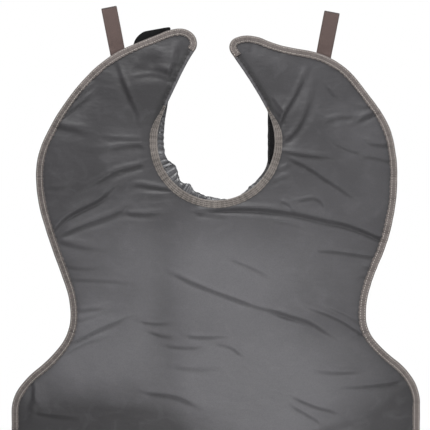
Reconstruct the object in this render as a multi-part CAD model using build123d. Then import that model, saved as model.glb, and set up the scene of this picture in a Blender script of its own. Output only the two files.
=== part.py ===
"""Dental lead apron with an attached thyroid collar, hanging by its two webbing loops.

Frame: +Z up, and the front of the apron faces -Y. The origin is on the middle line of the neck opening,
in the middle of the laminate, at the height where the loops hang on their pegs. Left is -X, the left
side for somebody facing the apron. Millimetres.

The apron is a flat laminate: a front cover, two lead-vinyl shield sheets and a back cover, held
together by a folded tape all round. The collar is the same laminate in a narrow U. It is sewn to the
neck edge and folded back behind the apron. Every layer is cut at the shoulder line and at the lap
line, because the wings fold back over the shoulders and the lap panel folds forward over the knees.
"""

from build123d import *
from math import asin, atan2, cos, degrees, hypot, radians, sin, sqrt
import os

# ---- Layers of the apron, from the front (-Y) to the back (+Y) ----
COVER = 0.8  # thickness of the front and back cover
SHIELD = 1.0  # thickness of one lead-vinyl sheet
TAPE = 0.8  # thickness of the binding tape
HALF_LAMINATE = COVER + SHIELD  # the laminate is centred on y = 0
FRONT = -HALF_LAMINATE - TAPE  # front face of the binding
BACK = HALF_LAMINATE + TAPE  # back face of the binding
BINDING_WIDTH = 12.0  # how far the tape reaches in from the edge
SHIELD_INSET = 4.0  # the sheets stop short of the covers' edge

# ---- The turned-back edge of each wing, beside the neck ----
TURNED_WIDTH = 14.0
TURNED_BACK = BACK + 2.8  # its rear face

# ---- Layers of the collar, behind the apron ----
HOOK_AND_LOOP = 1.4  # thickness of the fastening tape
COLLAR_FRONT = TURNED_BACK + 0.4 + HOOK_AND_LOOP  # front face of the collar's binding
COLLAR_SHIELD = 1.2
COLLAR_BINDING_WIDTH = 10.0
COLLAR_COVER_FRONT = COLLAR_FRONT + TAPE
COLLAR_SHIELD_FRONT = COLLAR_COVER_FRONT + COVER
COLLAR_SHIELD_BACK = COLLAR_SHIELD_FRONT + COLLAR_SHIELD
COLLAR_COVER_BACK = COLLAR_SHIELD_BACK + COVER
COLLAR_BACK = COLLAR_COVER_BACK + TAPE
COLLAR_MIDDLE = (COLLAR_FRONT + COLLAR_BACK) / 2

# ---- Fold lines ----
SHOULDER_Z = -190.0
LAP_Z = -540.0
FOLD_GAP = 0.2  # each side of a fold line stops this far from it

# ---- Neck and hem ----
NECK_CENTRE_Z = -199.0
NECK_RADIUS = 88.0
HEM_Z = -875.0
HEM_CORNER = 45.0
LEFT_SIDE_X = -307.0
RIGHT_SIDE_X = 306.0

# The apron's edge as places (x, z, heading in degrees) that smooth pairs of arcs join. It runs
# anticlockwise seen from the front, so the apron lies to the left of each heading.
APRON_EDGE = [
    (RIGHT_SIDE_X - HEM_CORNER, HEM_Z, 0),
    (RIGHT_SIDE_X, HEM_Z + HEM_CORNER, 90),
    (306, -592, 90),  # right hip
    (269, -526, 143),
    (224.5, -460, 90),  # right waist
    (246, -377, 66),
    (272, -252, 90),  # right shoulder, widest
    (246, -152, 125),
    (166, -71, 156),
    (99, -55, 166),
    (47, -40, 180),  # top of the right wing's tip
    (20, -57, 270),
    (30, -76, 305),
    (69, -137, 300),
    (NECK_RADIUS, NECK_CENTRE_Z, 270),
    (0, NECK_CENTRE_Z - NECK_RADIUS, 180),
    (-NECK_RADIUS, NECK_CENTRE_Z, 90),
    (-71, -137, 64),
    (-39, -73, 60),
    (-28.5, -52, 90),
    (-53, -29.5, 180),  # top of the left wing's tip
    (-99, -43, 202),
    (-163, -74, 216),
    (-234, -152, 237),
    (-270, -250, 270),  # left shoulder, widest
    (-240, -376, 290),
    (-218, -460, 270),  # left waist
    (-268, -540, 218),
    (LEFT_SIDE_X, -605, 270),  # left hip
    (LEFT_SIDE_X, HEM_Z + HEM_CORNER, 270),
    (LEFT_SIDE_X + HEM_CORNER, HEM_Z, 0),
]

# ---- Collar outline: a U under the neck opening, with an arm up behind each wing ----
COLLAR_INNER = 79.0
COLLAR_OUTER = 147.0
RIGHT_ARM_X = 78.0  # the right arm's straight inner edge
LEFT_ARM_LEAN = 7.5  # degrees towards the middle
COLLAR_EDGE = [
    (RIGHT_ARM_X, -118, 270),
    (RIGHT_ARM_X, -222, 270),
    (66, -251.5, 229),
    (20, -290, 184),  # here it slips behind the neck edge
    (-COLLAR_INNER, NECK_CENTRE_Z, 90),
    (-66, -100, 90 - LEFT_ARM_LEAN),
    (-80, -84, 180 - LEFT_ARM_LEAN),
    (-118, -79, 180 - LEFT_ARM_LEAN),
    (-133, -93, 270 - LEFT_ARM_LEAN),
    (-COLLAR_OUTER, NECK_CENTRE_Z, 270),
    (0, NECK_CENTRE_Z - COLLAR_OUTER, 0),
    (COLLAR_OUTER, NECK_CENTRE_Z, 90),
    (145, -117, 90),
    (130, -102, 180),
    (92, -102, 180),
]

# ---- The seam that holds the collar to the neck edge ----
SEAM_START = 1.0  # distance outside the neck edge
SEAM_WIDTH = 10.0
SEAM_TOP_Z = -240.0  # the arms above this are loose

# ---- Fastening tape on the collar ----
LOOP_PATCH_X = (RIGHT_ARM_X + 0.5, 128.0)
LOOP_PATCH_Z = (-233.0, -108.0)
TAB_HINGE = (-97.0, -81.2)  # on the line that the tab bends along, just above the left arm's end
TAB_OUTLINE = [  # across and along the arm
    (17, 0),
    (21.5, 52.5),
    (19.5, 59),
    (-17.5, 47.5),
    (-26.5, 39),
    (-31.5, 25.5),
    (-25, 0),
]

# ---- Hanging loops ----
LOOP_WIDTH = 23.0
WEBBING = 1.3  # thickness of one layer
LOOP_EYE = 3.5  # radius of the eye that the peg goes through
LOOP_NECK = 3.0  # length of the part where both layers lie together
EYE_START = 7.0
HINGE_STANDOFF = 1.8  # the loop bends along a line this far outside the apron's edge
ROOT_GAP = 0.3  # between the loop's rounded end and its sewn end
ANCHOR_LENGTH = 28.0
LOOP_Y = BACK + WEBBING
# base (x, z) on the edge, heading of the edge there, the loop's own direction, and its length
LEFT_LOOP = {"base": (-147.4, -63.8), "edge": 30.1, "up": 101.0, "length": 67.0}
RIGHT_LOOP = {"base": (161.5, -69.1), "edge": -21.7, "up": 79.0, "length": 65.0}

BIG = 2000.0


def direction(angle):
    return Vector(cos(radians(angle)), sin(radians(angle)))


def middle_of_arcs(p0, heading0, p1, heading1):
    """The place and heading where the two arcs that join two places meet."""
    t0, t1 = direction(heading0), direction(heading1)
    chord = p1 - p0
    a, b, c = 2 * (1 - t0.dot(t1)), 2 * chord.dot(t0 + t1), -chord.dot(chord)
    reach = -c / b if abs(a) < 1e-9 else (sqrt(b * b - 4 * a * c) - b) / (2 * a)
    start, end = p0 + t0 * reach, p1 - t1 * reach
    return (start + end) / 2, degrees(atan2((end - start).Y, (end - start).X))


def arc_between(p0, heading0, p1):
    tangent = direction(heading0)
    chord = p1 - p0
    if abs(tangent.X * chord.Y - tangent.Y * chord.X) < 1e-4 * chord.length:
        return Line(p0, p1)
    return TangentArc(p0, p1, tangent=tangent)


def outline(places, inset=0.0):
    """The closed face inside an edge, taken in by inset."""
    stops = []
    for i, (x, z, heading) in enumerate(places):
        here = Vector(x, z)
        x1, z1, heading1 = places[(i + 1) % len(places)]
        stops.append((here, heading))
        stops.append(middle_of_arcs(here, heading, Vector(x1, z1), heading1))
    moved = [(p + direction(h + 90) * inset, h) for p, h in stops]
    edges = [
        arc_between(p, h, moved[(i + 1) % len(moved)][0])
        for i, (p, h) in enumerate(moved)
    ]
    return make_face(Wire(edges))


def slab(face, front, back):
    """A flat face drawn in x and z as a solid from y = front to y = back."""
    solid = extrude(face, amount=back - front, dir=(0, 0, 1))
    return Rot(X=90) * (Pos(Z=-back) * solid)


def box(x, z):
    """A block through the whole depth, given its range in x and in z."""
    centre = Pos((x[0] + x[1]) / 2, 0, (z[0] + z[1]) / 2)
    return centre * Box(x[1] - x[0], BIG, z[1] - z[0])


# ---- Regions: one for each rigid body, and the zones of the edge ----
LEFT_WING = box((-BIG, 0), (SHOULDER_Z + FOLD_GAP, BIG))
RIGHT_WING = box((0, BIG), (SHOULDER_Z + FOLD_GAP, BIG))
CHEST = box((-BIG, BIG), (LAP_Z + FOLD_GAP, SHOULDER_Z - FOLD_GAP))
LAP = box((-BIG, BIG), (-BIG, LAP_Z - FOLD_GAP))
LEFT_HALF = box((-BIG, 0), (-BIG, BIG))
RIGHT_HALF = box((0, BIG), (-BIG, BIG))
REGIONS = {
    "left_wing": LEFT_WING,
    "right_wing": RIGHT_WING,
    "chest": CHEST,
    "lap": LAP,
}
TURN_END_Z = -158.0  # where the turned-back edges give way to the neck's binding
NECK_ZONE = box((-125, 125), (-320, TURN_END_Z))
LEFT_INNER_ZONE = box((-110, 5), (TURN_END_Z, -66))
RIGHT_INNER_ZONE = box((5, 100), (TURN_END_Z, -74))


def disc(radius):
    """A cylinder through the whole depth, round the middle of the neck."""
    return Pos(0, 0, NECK_CENTRE_Z) * (Rot(X=90) * Cylinder(radius, BIG))


def in_regions(name, solid, regions):
    """Writes the part of a layer that lies in each region as its own node."""
    for region in regions:
        write(f"{name}_{region}", solid & REGIONS[region])


def write(name, shape):
    solids = shape.solids()
    volume = sum(s.volume for s in solids)
    print(f"{name:32s} solids {len(solids)} volume {volume:10.0f}")
    export_step(Compound(children=list(solids)) if len(solids) > 1 else solids[0], f"parts/{name}.step")


# ---- The apron's laminate ----
def make_covers_and_shields():
    cover = outline(APRON_EDGE, TAPE)
    sheet = outline(APRON_EDGE, TAPE + SHIELD_INSET)
    layers = [
        ("front_cover", cover, -HALF_LAMINATE, -SHIELD),
        ("front_shield", sheet, -SHIELD, 0.0),
        ("rear_shield", sheet, 0.0, SHIELD),
        ("back_cover", cover, SHIELD, HALF_LAMINATE),
    ]
    for name, face, front, back in layers:
        in_regions(name, slab(face, front, back), REGIONS)


def folded_tape(places, width, front, back):
    """Binding tape folded over an edge: a front flap, the fold outside the edge and a rear flap."""
    outside = outline(places)
    flap = outside - outline(places, width)
    fold = outside - outline(places, TAPE)
    return (
        slab(flap, front, front + TAPE)
        + slab(fold, front + TAPE, back - TAPE)
        + slab(flap, back - TAPE, back)
    )


def make_bindings():
    tape = folded_tape(APRON_EDGE, BINDING_WIDTH, FRONT, BACK)
    in_regions("neck_binding", tape & NECK_ZONE, ["left_wing", "right_wing", "chest"])
    outer = tape - NECK_ZONE - LEFT_INNER_ZONE - RIGHT_INNER_ZONE
    in_regions("edge_binding", outer, ["left_wing", "right_wing", "lap"])
    write("edge_binding_chest_left", outer & CHEST & LEFT_HALF)
    write("edge_binding_chest_right", outer & CHEST & RIGHT_HALF)


def make_turned_edges():
    """The strip of laminate beside the neck that is turned to the back of each wing."""
    outside = outline(APRON_EDGE)
    turn = slab(outside - outline(APRON_EDGE, TAPE), -HALF_LAMINATE, HALF_LAMINATE)
    strip = slab(outside - outline(APRON_EDGE, TURNED_WIDTH), HALF_LAMINATE, TURNED_BACK)
    write("turned_edge_left", (turn + strip) & LEFT_INNER_ZONE)
    write("turned_edge_right", (turn + strip) & RIGHT_INNER_ZONE)


# ---- The collar ----
def make_collar():
    cover = outline(COLLAR_EDGE, TAPE)
    sheet = outline(COLLAR_EDGE, TAPE + SHIELD_INSET)
    places = ["left_wing", "right_wing", "chest"]
    in_regions("collar_inner_cover", slab(cover, COLLAR_COVER_FRONT, COLLAR_SHIELD_FRONT), places)
    in_regions("collar_shield", slab(sheet, COLLAR_SHIELD_FRONT, COLLAR_SHIELD_BACK), places)
    in_regions("collar_outer_cover", slab(cover, COLLAR_SHIELD_BACK, COLLAR_COVER_BACK), places)
    tape = folded_tape(COLLAR_EDGE, COLLAR_BINDING_WIDTH, COLLAR_FRONT, COLLAR_BACK)
    in_regions("collar_binding", tape, ["left_wing", "right_wing"])
    near_neck = disc((COLLAR_INNER + COLLAR_OUTER) / 2)
    write("collar_inner_binding_chest", tape & CHEST & near_neck)
    write("collar_outer_binding_chest", tape & CHEST - near_neck)


def make_collar_seam():
    """The collar's sewn margin, between the apron's neck edge and the collar's inner edge."""
    ring = disc(NECK_RADIUS + SEAM_START + SEAM_WIDTH) - disc(NECK_RADIUS + SEAM_START)
    depth = Pos(Y=(BACK + COLLAR_FRONT) / 2) * Box(BIG, COLLAR_FRONT - BACK, BIG)
    write("collar_seam", ring & depth & box((-BIG, BIG), (-BIG, SEAM_TOP_Z)))


def make_loop_patch():
    """The soft half of the fastening tape, on the collar's face next to the wing."""
    x0, x1 = LOOP_PATCH_X
    z0, z1 = LOOP_PATCH_Z
    patch = Pos((x0 + x1) / 2, (z0 + z1) / 2) * Rectangle(x1 - x0, z1 - z0)
    solid = slab(patch, COLLAR_FRONT - HOOK_AND_LOOP, COLLAR_FRONT)
    in_regions("loop_patch", solid, ["right_wing", "chest"])


def make_hook_tab():
    """The hook half of the fastening tape, a stiff tab on the end of the left arm."""
    front = COLLAR_MIDDLE - HOOK_AND_LOOP / 2
    tab = slab(Polygon(*TAB_OUTLINE, align=None), front, front + HOOK_AND_LOOP)
    write("hook_tab", Pos(TAB_HINGE[0], 0, TAB_HINGE[1]) * (Rot(Y=LEFT_ARM_LEAN) * tab))


# ---- The hanging loops ----
def teardrop(start, half_base, radius, top):
    """A pointed or blunt base at height start, with tangents up to a round top of that radius."""
    centre = top - radius
    reach = hypot(centre - start, half_base)
    lean = asin(radius / reach) - atan2(half_base, centre - start)
    touch = (radius * cos(lean), centre - radius * sin(lean))
    right = (half_base, start)
    left = (-half_base, start)
    edges = [
        Line(right, touch),
        ThreePointArc(touch, (0, top), (-touch[0], touch[1])),
        Line((-touch[0], touch[1]), left),
    ]
    if half_base > 0:
        edges.append(Line(left, right))
    return make_face(Wire(edges))


def make_loop(side, place):
    """One webbing loop, which bends along a line just outside the apron's edge, and its sewn end."""
    edge = place["edge"]
    hinge = Vector(*place["base"]) + direction(edge + 90) * HINGE_STANDOFF
    at_hinge = Pos(hinge.X, LOOP_Y, hinge.Y)
    along_webbing = Rot(Y=90 - place["up"])
    along_edge = Rot(Y=-edge)
    lean = cos(radians(place["up"] - 90 - edge))

    outer = teardrop(LOOP_NECK, WEBBING, LOOP_EYE + WEBBING, place["length"])
    eye = teardrop(EYE_START, 0.0, LOOP_EYE, place["length"] - WEBBING)
    tail = Pos(0, LOOP_NECK - LOOP_WIDTH / 2) * Rectangle(2 * WEBBING, LOOP_WIDTH)
    profile = Plane.YZ * (outer + tail - eye)
    webbing = along_webbing * extrude(profile, amount=LOOP_WIDTH / 2, dir=(1, 0, 0), both=True)
    root = along_edge * (Rot(Y=90) * Cylinder(WEBBING, LOOP_WIDTH / lean - 2 * WEBBING))
    outside_edge = along_edge * (Pos(Z=BIG / 2) * Box(BIG, BIG, BIG))
    write(f"hanging_loop_{side}", at_hinge * ((webbing & outside_edge) + root))

    sewn = along_webbing * (Pos(Z=-ANCHOR_LENGTH / 2) * Box(LOOP_WIDTH, 2 * WEBBING, ANCHOR_LENGTH))
    below = along_edge * (Pos(Z=-BIG / 2 - WEBBING - ROOT_GAP) * Box(BIG, BIG, BIG))
    write(f"loop_anchor_{side}", at_hinge * (sewn & below))


os.makedirs("parts", exist_ok=True)
make_covers_and_shields()
make_bindings()
make_turned_edges()
make_collar()
make_collar_seam()
make_loop_patch()
make_hook_tab()
make_loop("left", LEFT_LOOP)
make_loop("right", RIGHT_LOOP)
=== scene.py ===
import math

import bpy
import numpy as np
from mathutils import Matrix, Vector
from mathutils.geometry import delaunay_2d_cdt
from mathutils.kdtree import KDTree


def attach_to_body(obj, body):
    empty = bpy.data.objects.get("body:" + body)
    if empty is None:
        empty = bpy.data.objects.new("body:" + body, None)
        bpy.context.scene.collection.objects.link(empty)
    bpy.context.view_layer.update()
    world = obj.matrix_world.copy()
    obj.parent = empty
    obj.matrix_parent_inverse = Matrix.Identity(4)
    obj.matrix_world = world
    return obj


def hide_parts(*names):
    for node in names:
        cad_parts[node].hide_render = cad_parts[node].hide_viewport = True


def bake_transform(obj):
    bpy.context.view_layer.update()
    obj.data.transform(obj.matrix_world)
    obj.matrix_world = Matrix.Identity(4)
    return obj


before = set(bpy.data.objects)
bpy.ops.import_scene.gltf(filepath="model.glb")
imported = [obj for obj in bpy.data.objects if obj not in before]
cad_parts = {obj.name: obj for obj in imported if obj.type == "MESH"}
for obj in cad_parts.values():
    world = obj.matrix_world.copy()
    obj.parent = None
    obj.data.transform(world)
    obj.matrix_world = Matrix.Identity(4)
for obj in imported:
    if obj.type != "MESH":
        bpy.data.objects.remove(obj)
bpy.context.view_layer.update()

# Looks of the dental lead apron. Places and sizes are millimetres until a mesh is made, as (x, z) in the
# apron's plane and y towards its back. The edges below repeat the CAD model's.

MM = 0.001

# ---------------------------------------------------------------- the apron's measures
COVER, SHIELD = 0.8, 1.0  # the thickness of a cover and of a shielding sheet
HALF_LAMINATE = COVER + SHIELD
BINDING_WIDTH = 11.5
NECK_Z, NECK_RADIUS = -199.0, 88.0
HEM_Z = -875.0
COLLAR_RADIUS = 147.0
COLLAR_MIDDLE = 9.4  # y of the middle of the collar, and of the hook tab
PATCH_MIDDLE = 6.5  # y of the middle of the loop patch
WEBBING = 1.3
LOOP_WIDTH = 23.0
PUCKER = 7.5  # from one pucker of a sewn tape to the next

# Places (x, z, heading in degrees) on the apron's edge, anticlockwise from the middle of the hem.
APRON_EDGE = [
    (0, HEM_Z, 0), (261, HEM_Z, 0), (306, -830, 90), (306, -592, 90), (269, -526, 143),
    (224.5, -460, 90), (246, -377, 66), (272, -252, 90), (246, -152, 125), (166, -71, 156),
    (99, -55, 166), (47, -40, 180), (20, -57, 270), (30, -76, 305), (69, -137, 300),
    (NECK_RADIUS, NECK_Z, 270), (0, NECK_Z - NECK_RADIUS, 180), (-NECK_RADIUS, NECK_Z, 90),
    (-71, -137, 64), (-39, -73, 60),
    (-28.5, -52, 90), (-53, -29.5, 180), (-99, -43, 202), (-163, -74, 216), (-234, -152, 237),
    (-270, -250, 270), (-240, -376, 290), (-218, -460, 270), (-268, -540, 218),
    (-307, -605, 270), (-307, -830, 270), (-262, HEM_Z, 0),
]
COLLAR_EDGE = [
    (78, -118, 270), (78, -222, 270), (66, -251.5, 229), (20, -290, 184), (-79, NECK_Z, 90),
    (-66, -100, 82.5), (-80, -84, 172.5), (-118, -79, 172.5), (-133, -93, 262.5),
    (-COLLAR_RADIUS, NECK_Z, 270), (0, NECK_Z - COLLAR_RADIUS, 0), (COLLAR_RADIUS, NECK_Z, 90),
    (145, -117, 90),
    (130, -102, 180), (92, -102, 180),
]

# ---------------------------------------------------------------- zones: where pieces are split
WING_CUT = -245.0  # above it lie the wings
LAP_CUT = -490.0  # below it lies the lap panel
ZONES = ("left_wing", "right_wing", "chest", "lap")


def zone_mask(x, z):
    """The number in ZONES of the zone that each place is in."""
    return np.where(z > WING_CUT, np.where(x < 0, 0, 1), np.where(z > LAP_CUT, 2, 3))


def attach(piece, zone):
    """Parents a chest piece to the apron body; bakes the place of a piece of any other zone into its mesh.
    """
    if zone == "chest":
        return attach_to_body(piece, "apron_body")
    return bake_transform(piece)


# ---------------------------------------------------------------- edges
def arc_stations(start, heading, end, step):
    """Places and headings along the arc that leaves start at heading and ends at end."""
    chord = end - start
    half_turn = np.angle(chord * np.exp(-1j * heading))
    length = abs(chord) / np.sinc(half_turn / np.pi)
    u = np.arange(max(1, round(length / step))) / max(1, round(length / step))
    reach = length * u * np.sinc(half_turn * u / np.pi)
    return start + reach * np.exp(1j * (heading + half_turn * u)), heading + 2 * half_turn * u


def arc_joint(start, heading, end, end_heading):
    """The place and heading where the two arcs that join two places meet."""
    t0, t1, chord = np.exp(1j * heading), np.exp(1j * end_heading), end - start
    a = 2 * (1 - (t0.conjugate() * t1).real)
    b = 2 * (chord.conjugate() * (t0 + t1)).real
    c = -abs(chord) ** 2
    reach = -c / b if abs(a) < 1e-9 else (math.sqrt(b * b - 4 * a * c) - b) / (2 * a)
    near, far = start + t0 * reach, end - t1 * reach
    return (near + far) / 2, np.angle(far - near)


class Edge:
    """Stations round a closed edge: their places p, inward normals n, and distances s along it."""

    def __init__(self, places, step=2.5):
        found, headings = [], []
        for i, (x, z, heading) in enumerate(places):
            x1, z1, heading1 = places[(i + 1) % len(places)]
            start, end = complex(x, z), complex(x1, z1)
            h0, h1 = math.radians(heading), math.radians(heading1)
            middle, h = arc_joint(start, h0, end, h1)
            for p, q, h_p in ((start, middle, h0), (middle, end, h)):
                along, turned = arc_stations(p, h_p, q, step)
                found.append(along)
                headings.append(turned)
        line, normal = np.concatenate(found), np.exp(1j * (np.concatenate(headings) + np.pi / 2))
        self.p = np.stack([line.real, line.imag], 1)
        self.n = np.stack([normal.real, normal.imag], 1)
        steps = np.linalg.norm(np.roll(self.p, -1, 0) - self.p, axis=1)
        self.s = np.concatenate([[0], np.cumsum(steps)[:-1]])
        self.length = steps.sum()
        self.tree = KDTree(len(self.p))
        for i, (x, z) in enumerate(self.p):
            self.tree.insert((x, z, 0), i)
        self.tree.balance()

    def near(self, x, z):
        """The index of the station nearest to a place."""
        return self.tree.find((x, z, 0))[1]

    def between(self, start, end):
        """The indices of the stations from near one place on to near another."""
        i, j, count = self.near(*start), self.near(*end), len(self.p)
        return np.arange(i, j + 1 if j > i else j + 1 + count) % count

    def depth(self, x, z):
        """How far inside the edge each place is, and how far along the edge it is nearest to."""
        i = np.array([self.tree.find((a, b, 0))[1] for a, b in zip(x, z)])
        away = np.stack([x, z], 1) - self.p[i]
        along = np.stack([self.n[i, 1], -self.n[i, 0]], 1)
        return (away * self.n[i]).sum(1), (self.s[i] + (away * along).sum(1)) % self.length


apron_edge, collar_edge = Edge(APRON_EDGE), Edge(COLLAR_EDGE)


# ---------------------------------------------------------------- the way the apron hangs
def ripple(s, length, wave, seed):
    """A smooth random wave round an edge of that length, about -1 to 1."""
    count = max(4, round(length / wave))
    knots = np.random.default_rng(seed).uniform(-1, 1, count)
    at = np.asarray(s) / length * count
    i, u = np.floor(at).astype(int), at - np.floor(at)
    u = u * u * (3 - 2 * u)
    return knots[i % count] * (1 - u) + knots[(i + 1) % count] * u


def smooth(value, low, high):
    """0 to 1, smoothly, as the value goes from low to high."""
    t = np.clip((value - low) / (high - low), 0, 1)
    return t * t * (3 - 2 * t)


def hill(x, z, at, spread, turn=0.0):
    """A smooth hill of height 1 at a place, with its spread along and across a direction."""
    a = math.radians(turn)
    u = (x - at[0]) * math.cos(a) + (z - at[1]) * math.sin(a)
    v = (z - at[1]) * math.cos(a) - (x - at[0]) * math.sin(a)
    return np.exp(-((u / spread[0]) ** 2) - (v / spread[1]) ** 2)


# Broad shapes of the hanging laminate: height towards the viewer, place, spread, turn in degrees.
HILLS = [
    (5.5, (15, -520), (210, 120), 0),  # belly
    (3.0, (0, -330), (120, 60), 0),  # under the neck
    (-3.0, (-78, -470), (24, 120), 0),  # hollow down the left of the belly
    (-2.5, (-215, -300), (60, 40), 30),
    (-3.0, (-170, -400), (60, 40), 20),
    (-2.5, (215, -300), (60, 50), -20),
    (-3.5, (-290, -650), (110, 60), 0),
    (-3.0, (285, -640), (90, 70), 0),
    (2.0, (-110, -70), (30, 16), 25),  # puffed tip of the left wing
    (2.0, (100, -90), (40, 30), 0),
    (2.0, (-190, -200), (50, 60), 0),
    (2.0, (190, -200), (60, 50), 0),
    (5.0, (-118, -112), (42, 40), 30),  # the wing falls away below it
    (2.5, (-100, -720), (60, 140), 0),
    (-2.0, (60, -760), (40, 140), 0),
    (2.5, (170, -740), (60, 140), 0),
]

# Painted light and shade on the vinyl, partly wear: where its colour is painted paler (above 0) or darker
# (below 0), as in HILLS.
BASE_PALENESS = 0.18
WEAR_AND_PAINTED_LIGHT = [
    (1.0, (50, -570), (200, 115), -8),
    (0.75, (10, -390), (160, 75), 0),
    (0.95, (-190, -505), (80, 60), 20),
    (0.25, (-170, -360), (80, 60), 0),
    (0.12, (180, -330), (80, 80), 0),
    (0.25, (225, -190), (50, 60), 0),
    (0.6, (0, -760), (230, 110), 0),
    (-0.3, (-80, -460), (22, 110), 0),
    (-0.95, (-190, -650), (170, 56), 0),
    (-1.0, (300, -640), (95, 75), 0),
    (-0.6, (-95, -640), (70, 50), 0),
    (-0.22, (-98, -105), (60, 75), 0),
]


def wear_and_painted_light(x, z):
    """How pale the vinyl is painted at each place, 0 to 1: wear together with painted light and shade."""
    pale = np.full(np.shape(x), BASE_PALENESS)
    for size, at, spread, turn in WEAR_AND_PAINTED_LIGHT:
        pale = pale + size * hill(x, z, at, spread, turn)
    return np.clip(pale, 0, 1)


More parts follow.
